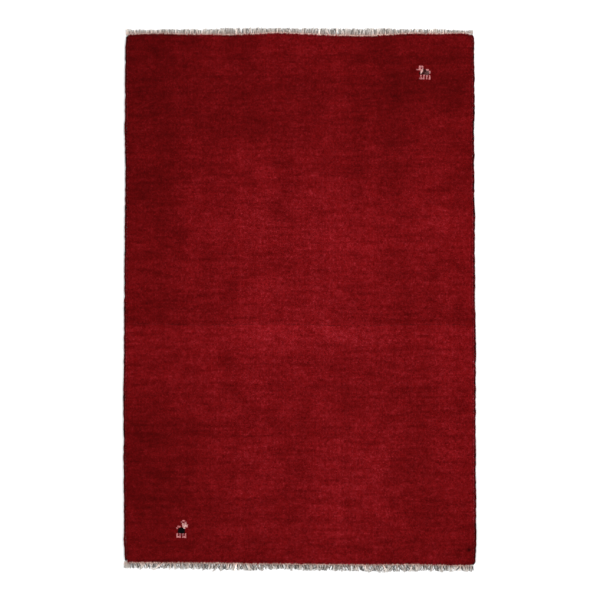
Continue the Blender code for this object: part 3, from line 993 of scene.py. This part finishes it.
def warp_strands(brush):
    """Paths, radii and tones of the strands at one end.

    A strand starts in the web and rises from there over its first third. Its sideways place grows with 0.6 s
    + 0.4 s^2, where s is the share of its length, and it goes round the middle of its lock by an angle that
    grows with s.
    """
    rng = np.random.default_rng(brush.seed)
    way = 1 if brush.end == "head" else -1
    roots = strand_roots(brush, rng)
    count, locks = len(roots.x), int(roots.lock.max()) + 1
    lock_lean = (brush.lock_lean * rng.standard_normal(locks))[roots.lock.astype(int)]
    lock_length = np.clip(1 + brush.raggedness * rng.standard_normal(locks), 0.6, 1.12)
    lock_length = np.where(rng.random(locks) < SHORT_LOCKS, SHORT_LENGTH, 1.0) * lock_length
    lock_shade = np.exp(0.28 * rng.standard_normal(locks))[roots.lock.astype(int)]

    x = roots.x + 0.2 * MM * rng.standard_normal(count)
    from_side = np.clip((HALF_WIDTH - np.abs(x)) / CALM_SIDE, 0, 1)
    lean = (lean_of_locks(brush.start, x) + lock_lean) * from_side + brush.unrest * rng.standard_normal(count)
    root = end_line(brush.end, x) + way * ROOT_IN_WEB
    length = (np.interp(x, *tips_of(brush.end)) - np.abs(root)) * roots.reach
    uneven = np.clip(1 + 0.04 * rng.standard_normal(count), 0.8, 1.1)
    length = length * lock_length[roots.lock.astype(int)] * uneven
    turn = roots.angle[:, None] + LOCK_TURN * SHARES
    sideways = (lean * length)[:, None] * (0.6 * SHARES + 0.4 * SHARES**2)
    sideways = sideways + roots.radius[:, None] * np.cos(turn)
    sideways = sideways + roots.bow[:, None] * np.sin(np.pi * SHARES * 0.8)
    thick = STRAND_RADIUS * np.clip(1 + 0.12 * rng.standard_normal(count), 0.7, 1.3)
    height = thick + LIFT + LAYER_HEIGHT * roots.layer + 0.3 * MM * rng.random(count)
    height = height[:, None] + roots.radius[:, None] * (0.6 + 0.6 * np.sin(turn))
    risen = np.clip(SHARES / RISE_SHARE, 0, 1)
    height = np.maximum(ROOT_HEIGHT * (1 - risen) + height * risen, thick[:, None] + LIFT)
    paths = np.stack([x[:, None] + sideways, root[:, None] + way * length[:, None] * SHARES, height], axis=-1)
    shade = brush.shade * lock_shade * np.exp(0.08 * rng.standard_normal(count))
    # Painted shade: the lower layer is darkened.
    shade = shade * np.where(roots.layer > 0, 1.0, brush.under_shade)
    # Painted shade: each strand is darker towards its root, near the pile.
    tones = shade[:, None] * (0.80 + 0.20 * SHARES)
    return paths, thick[:, None] * TAPER, tones


def fringe(brush):
    """One end's warp ends as one piece, with the dye that has bled into them fading towards their tips."""
    paths, radii, tones = warp_strands(brush)
    piece = sweep(brush.end + "_warp_ends", paths, *ring_offsets(radii, STRAND_SIDES), cells_across=96)
    add_numbers(piece, "tone", np.repeat(tones.ravel(), STRAND_SIDES))
    bleed = np.broadcast_to((1 - SHARES) ** 2, paths.shape[:2])
    add_numbers(piece, "bleed", np.repeat(bleed.ravel(), STRAND_SIDES))
    return piece


head_fringe, foot_fringe = [fringe(brush) for brush in BRUSHES]
print("strands at the head:", len(head_fringe.data.vertices) // (STRAND_SIDES * len(SHARES)))

# %% [markdown]
# ## Shader maths that reads like Python
#
# A material is a graph of nodes, and long sums are hard to read as a graph. The small class below wraps a
# socket, so that adding or multiplying two of them adds the Math node and its links. One method makes every
# other node.


# %% Wires and recipes
class Wire:
    """A number or a colour on its way through a material."""

    def __init__(self, recipe, socket):
        self.recipe, self.socket = recipe, socket

    def maths(self, operation, *values):
        return self.recipe.node("ShaderNodeMath", {"operation": operation}, dict(enumerate(values)))

    def __add__(self, other):
        return self.maths("ADD", self, other)

    def __rsub__(self, other):
        return self.maths("SUBTRACT", other, self)

    def __mul__(self, other):
        return self.maths("MULTIPLY", self, other)

    def __pow__(self, other):
        return self.maths("POWER", self, other)

    def __abs__(self):
        return self.maths("ABSOLUTE", self)

    __radd__ = __add__
    __rmul__ = __mul__

    def sine(self):
        return self.maths("SINE", self)


class Recipe:
    """A material whose nodes are added one by one and end in its Principled shader."""

    def __init__(self, name, **fixed):
        self.material = bpy.data.materials.new(name)
        self.material.use_nodes = True
        self.tree = self.material.node_tree
        self.shader = self.tree.nodes["Principled BSDF"]
        for socket, value in fixed.items():
            self.shader.inputs[socket.replace("_", " ")].default_value = value

    def node(self, kind, settings, values, output=0):
        """Adds a node, sets it, gives its sockets their values or links, and returns one of its outputs."""
        made = self.tree.nodes.new(kind)
        for setting, value in settings.items():
            setattr(made, setting, value)
        for place, value in values.items():
            if isinstance(value, Wire):
                self.tree.links.new(value.socket, made.inputs[place])
            else:
                made.inputs[place].default_value = value
        return Wire(self, made.outputs[output])

    def drive(self, socket, wire):
        self.tree.links.new(wire.socket, self.shader.inputs[socket])

    def place(self):
        """Object coordinates, in metres."""
        return self.node("ShaderNodeTexCoord", {}, {}, output="Object")

    def number(self, name):
        return self.node("ShaderNodeAttribute", {"attribute_name": name}, {}, output="Fac")

    def colour(self, name):
        return self.node("ShaderNodeAttribute", {"attribute_name": name}, {}, output="Color")

    def map_part(self, name, axis):
        return self.part(self.node("ShaderNodeUVMap", {"uv_map": name}, {}), axis)

    def part(self, vector, axis):
        """One of the three numbers of a vector or a colour."""
        return self.node("ShaderNodeSeparateXYZ", {}, {0: vector}, output=axis)

    def triple(self, first, second, third):
        """Three numbers as one vector."""
        return self.node("ShaderNodeCombineXYZ", {}, {0: first, 1: second, 2: third})

    def noise(self, where, size, output=0):
        """Cloudy noise from 0 to 1, with features about `size` metres wide."""
        values = {"Vector": where, "Scale": 1 / size, "Detail": 3.0, "Roughness": 0.6}
        return self.node("ShaderNodeTexNoise", {}, values, output=output)

    def stirred(self, where, size, reach):
        """A place moved by up to `reach` metres in each direction, by three cloudy noises at once."""
        three = self.noise(where, size, output="Color")
        values = {0: three, 1: (reach, reach, reach), 2: where}
        return self.node("ShaderNodeVectorMath", {"operation": "MULTIPLY_ADD"}, values)

    def tinted(self, colour, factors):
        """A colour times three factors, one for each of red, green and blue."""
        return self.node("ShaderNodeVectorMath", {"operation": "MULTIPLY"}, {0: colour, 1: factors})

    def dimmed(self, colour, factor):
        """A colour times a number."""
        return self.node("ShaderNodeVectorMath", {"operation": "SCALE"}, {0: colour, "Scale": factor})

    def mixed(self, factor, first, second):
        """A blend of two colours."""
        return self.node("ShaderNodeMix", {"data_type": "RGBA"}, {0: factor, 6: first, 7: second}, output=2)

    def bump(self, height, depth):
        """A normal tilted by a height from 0 to 1 that stands for a depth in metres."""
        normal = self.node("ShaderNodeBump", {}, {"Strength": 1.0, "Distance": depth, "Height": height})
        self.drive("Normal", normal)


print("recipes are ready")

# %% [markdown]
# ## Wool pile
#
# Cut wool hardly shines: light goes in between the fibres and comes out tinted. The recipe takes each knot's
# dye, tone and frost. Voronoi cells as wide as a yarn stand for the cut ends of the knots, each a little
# lighter or darker than the next and painted darker round its rim as the shade between yarn ends, and
# fibres half a millimetre thick break up both colour and surface.

# %% The pile's finish
FIBRE = 0.5 * MM
FRIZZ = 2.2 * MM
YARN_END = 2.1 * MM
STIR_SIZE, STIR_REACH = 1.5 * MM, 1.2 * MM
WOOL = {"Roughness": 0.95, "Specular_IOR_Level": 0.04, "Sheen_Weight": 0.015, "Sheen_Roughness": 0.5}


def cut_pile(name):
    """Wool at its cut ends: raised cells with painted shade at their rims, in each knot's tone and frost."""
    recipe = Recipe(name, **WOOL)
    place = recipe.place()
    fibres = recipe.noise(place, FIBRE)
    frizz = recipe.noise(place, FRIZZ)
    cells = {"Vector": recipe.stirred(place, STIR_SIZE, STIR_REACH), "Scale": 1 / YARN_END}
    dome = 1 - recipe.node("ShaderNodeTexVoronoi", {"feature": "F1"}, cells, output="Distance")
    each = recipe.node("ShaderNodeTexVoronoi", {"feature": "F1"}, cells, output="Color")
    # Painted shade: each yarn end is darker towards the rim of its cell.
    light = (0.45 + 0.75 * dome) * (0.80 + 0.36 * fibres)
    light = light * (0.88 + 0.24 * recipe.part(each, 0)) * (0.88 + 0.24 * frizz)
    shade = recipe.number("tone") * light
    paler = recipe.number("frost") * light
    frosted = recipe.triple(1.0, paler, paler)
    recipe.drive("Base Color", recipe.dimmed(recipe.tinted(recipe.colour("dye"), frosted), shade))
    recipe.bump(0.9 * dome + 0.6 * fibres + 0.5 * frizz, 1.0 * MM)
    return recipe


pile_wool = cut_pile("madder_wool_pile")
print("nodes in the pile's finish:", len(pile_wool.tree.nodes))

# %% [markdown]
# ## Wool in locks and cords
#
# The same wool in the splayed tufts and in the overcasting runs lengthways, so its plies follow the yarn map:
# a sine of the turns round the yarn plus the turns along it, a little darker between the plies as painted
# shade. Fine noise stands for the fibres.

# %% Tuft and cord finishes
LOCK_SHINE = {"Roughness": 0.92, "Specular_IOR_Level": 0.06, "Sheen_Weight": 0.015, "Sheen_Roughness": 0.5}


def lengthwise_wool(name, colour, turns_per_metre, depth, frost):
    """Wool whose plies follow the yarn map, twisted by so many turns a metre. `frost` names its numbers."""
    recipe = Recipe(name, **LOCK_SHINE)
    round_it, along = recipe.map_part("yarn", 0), recipe.map_part("yarn", 1)
    ply = ((round_it + along * turns_per_metre) * (4 * np.pi)).sine()
    grain = recipe.noise(recipe.place(), FIBRE)
    # Painted shade: the plies are a little darker where they dip.
    light = (0.75 + 0.5 * grain) * (0.95 + 0.08 * ply)
    paler = recipe.number(frost) * light
    frosted = recipe.tinted(colour, recipe.triple(1.0, paler, paler))
    recipe.drive("Base Color", recipe.dimmed(frosted, recipe.number("tone") * light))
    recipe.bump(0.35 * ply + 0.9 * grain, depth)
    return recipe


tuft_wool = lengthwise_wool("madder_wool_locks", MADDER, 60, 0.6 * MM, frost="frost")
cord_wool = lengthwise_wool("overcasting_wool", OVERCAST_RED_AND_SHADE, 150, 0.4 * MM, frost="tone")
print("finishes for tufts and cords are ready")

# %% [markdown]
# ## Warp wool
#
# The warps are undyed, hard-spun two-ply wool, ivory with a grey cast. Two plies show as a slanting stripe,
# twice round for each turn, with painted shade in the groove between them. Near the pile the dye has bled a
# little into them.

# %% The warps' finish
BLED = (0.66, 0.36, 0.29)
WARP_TURNS_A_METRE = 190


def warp_wool(name, bleeds):
    """Undyed two-ply yarn: slanting plies with painted shade between them, fine grain, and dye bled into it.
    """
    recipe = Recipe(name, Roughness=0.9, Specular_IOR_Level=0.08, Sheen_Weight=0.02, Sheen_Roughness=0.5)
    round_it, along = recipe.map_part("yarn", 0), recipe.map_part("yarn", 1)
    ply = abs(((round_it + along * WARP_TURNS_A_METRE) * (2 * np.pi)).sine())
    grain = recipe.noise(recipe.place(), FIBRE)
    dirt = recipe.noise(recipe.place(), 9 * MM)
    # Painted shade: the yarn is darker in the groove between its two plies.
    shade = recipe.number("tone") * (0.70 + 0.30 * ply) * (0.80 + 0.4 * grain) * (0.80 + 0.4 * dirt)
    colour = recipe.mixed(bleeds(recipe), (*WARP, 1.0), (*BLED, 1.0))
    recipe.drive("Base Color", recipe.dimmed(colour, shade))
    recipe.bump(0.8 * ply + 0.5 * grain, 0.35 * MM)
    return recipe


def bled_in_clouds(recipe):
    """Bleeding that comes and goes over about a centimetre."""
    return recipe.number("bleed") * (0.45 + 0.5 * recipe.noise(recipe.place(), 12 * MM))


strand_wool = warp_wool("undyed_warp_wool", lambda recipe: recipe.number("bleed") * 0.8)
web_wool = warp_wool("undyed_web_wool", bled_in_clouds)
print("finishes for warps are ready")

# %% [markdown]
# ## The back of the rug
#
# On the back each knot shows as a bead between lines of weft. Two sine waves in metres, one for the columns
# and one for the rows, give the beads, and their troughs the weft. The troughs are also painted darker, as
# the shade between the beads.

# %% The ground's finish
WEFT = (0.16, 0.07, 0.05)
ground_wool = Recipe("ground_weave_wool", **WOOL)
spot = ground_wool.place()
in_column = abs((ground_wool.part(spot, 0) * (2 * np.pi / KNOT)).sine())
in_row = abs((ground_wool.part(spot, 1) * (np.pi / KNOT)).sine())
bead, weft = in_column * in_row, 1 - in_row
# Painted shade: the ground is darker between the beads.
ground_shade = (0.55 + 0.45 * bead) * (0.8 + 0.4 * ground_wool.noise(spot, 1.2 * MM))
ground_colour = ground_wool.mixed(weft**4, (*MADDER, 1.0), (*WEFT, 1.0))
ground_wool.drive("Base Color", ground_wool.dimmed(ground_colour, ground_shade))
ground_wool.bump(bead, 0.8 * MM)
print("the ground's finish is ready")

# %% [markdown]
# ## Dressing the frame
#
# Each piece gets its finish, rides on the solid model's one body, and takes the place of the plain solid that
# it stands for.

# %% Finishes and places
Dressed = namedtuple("Dressed", "piece recipe slot nodes")
DRESSED = (
    Dressed(ground, ground_wool, "red_wool_pile", ()),
    Dressed(foot_pile, pile_wool, "red_wool_pile", ()),
    Dressed(head_pile, pile_wool, "red_wool_pile", ("knotted_cloth",)),
    Dressed(rim_tufts, tuft_wool, "red_wool_pile", ()),
    Dressed(left_cord, cord_wool, "dark_red_wool", ("left_side_cord",)),
    Dressed(right_cord, cord_wool, "dark_red_wool", ("right_side_cord",)),
    Dressed(head_web, web_wool, "natural_warp_yarn", ()),
    Dressed(foot_web, web_wool, "natural_warp_yarn", ()),
    Dressed(head_fringe, strand_wool, "natural_warp_yarn", ("head_fringe",)),
    Dressed(foot_fringe, strand_wool, "natural_warp_yarn", ("foot_fringe",)),
)
for dressed in DRESSED:
    dressed.piece.data.materials.append(dressed.recipe.material)
    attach(dressed.piece, "root")
    if dressed.nodes:
        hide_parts(*dressed.nodes)

HEAD[1].mean() + FOOT[1].mean()
print("pieces:", [dressed.piece.name for dressed in DRESSED])

# %% [markdown]
# ## Floor, light and camera
#
# The photo looks straight down on the rug and cuts it out on white. A pale floor under two large, soft lamps
# comes close to that. The lamp on the right is the stronger, so that the pile shades towards the left. The
# camera stands far off with a long lens, so the edges of the picture are seen nearly as squarely as the
# middle.

# %% A plain studio
MM_A_PIXEL = 2.85
PHOTO_SIDE = 600
LENS = 135
SENSOR = 36
OFF_CENTRE_X, OFF_CENTRE_Y = 0.18, 0.34
FLOOR_REACH = 8

floor_mesh = bpy.data.meshes.new("floor")
floor_corners = [(FLOOR_REACH * x, FLOOR_REACH * y, 0) for x, y in ((-1, -1), (1, -1), (1, 1), (-1, 1))]
floor_mesh.from_pydata(floor_corners, [], [(0, 1, 2, 3)])
floor = bpy.data.objects.new("floor", floor_mesh)
bpy.context.scene.collection.objects.link(floor)
floor_paint = Recipe("pale_floor", Roughness=0.9, Specular_IOR_Level=0.1)
floor_paint.shader.inputs["Base Color"].default_value = (0.90, 0.90, 0.90, 1)
floor_mesh.materials.append(floor_paint.material)


def soft_lamp(name, place, side, power):
    """A square lamp that looks at the middle of the rug."""
    lamp = bpy.data.lights.new(name, "AREA")
    lamp.shape, lamp.size, lamp.energy = "SQUARE", side, power
    made = bpy.data.objects.new(name, lamp)
    made.location = place
    made.rotation_euler = (-Vector(place)).to_track_quat("-Z", "Y").to_euler()
    bpy.context.scene.collection.objects.link(made)


soft_lamp("right_lamp", (2.6, 1.4, 3.0), 2.4, 150)
soft_lamp("left_lamp", (-2.8, -1.0, 3.2), 2.6, 90)

world = bpy.data.worlds.new("studio")
world.use_nodes = True
world.node_tree.nodes["Background"].inputs["Color"].default_value = (1, 1, 1, 1)
world.node_tree.nodes["Background"].inputs["Strength"].default_value = 0.55
bpy.context.scene.world = world

seen = PHOTO_SIDE * MM_A_PIXEL * MM
camera_data = bpy.data.cameras.new("camera")
camera_data.lens, camera_data.sensor_width = LENS, SENSOR
camera_data.clip_end = 50
camera = bpy.data.objects.new("camera", camera_data)
camera.location = (
    OFF_CENTRE_X * MM_A_PIXEL * MM,
    -OFF_CENTRE_Y * MM_A_PIXEL * MM,
    PILE_HEIGHT + seen * LENS / SENSOR,
)
bpy.context.scene.collection.objects.link(camera)
bpy.context.scene.camera = camera
bpy.context.scene.view_settings.view_transform = "Standard"

print("the camera sees", round(seen, 2), "m from", round(camera.location.z, 2), "m above the floor")
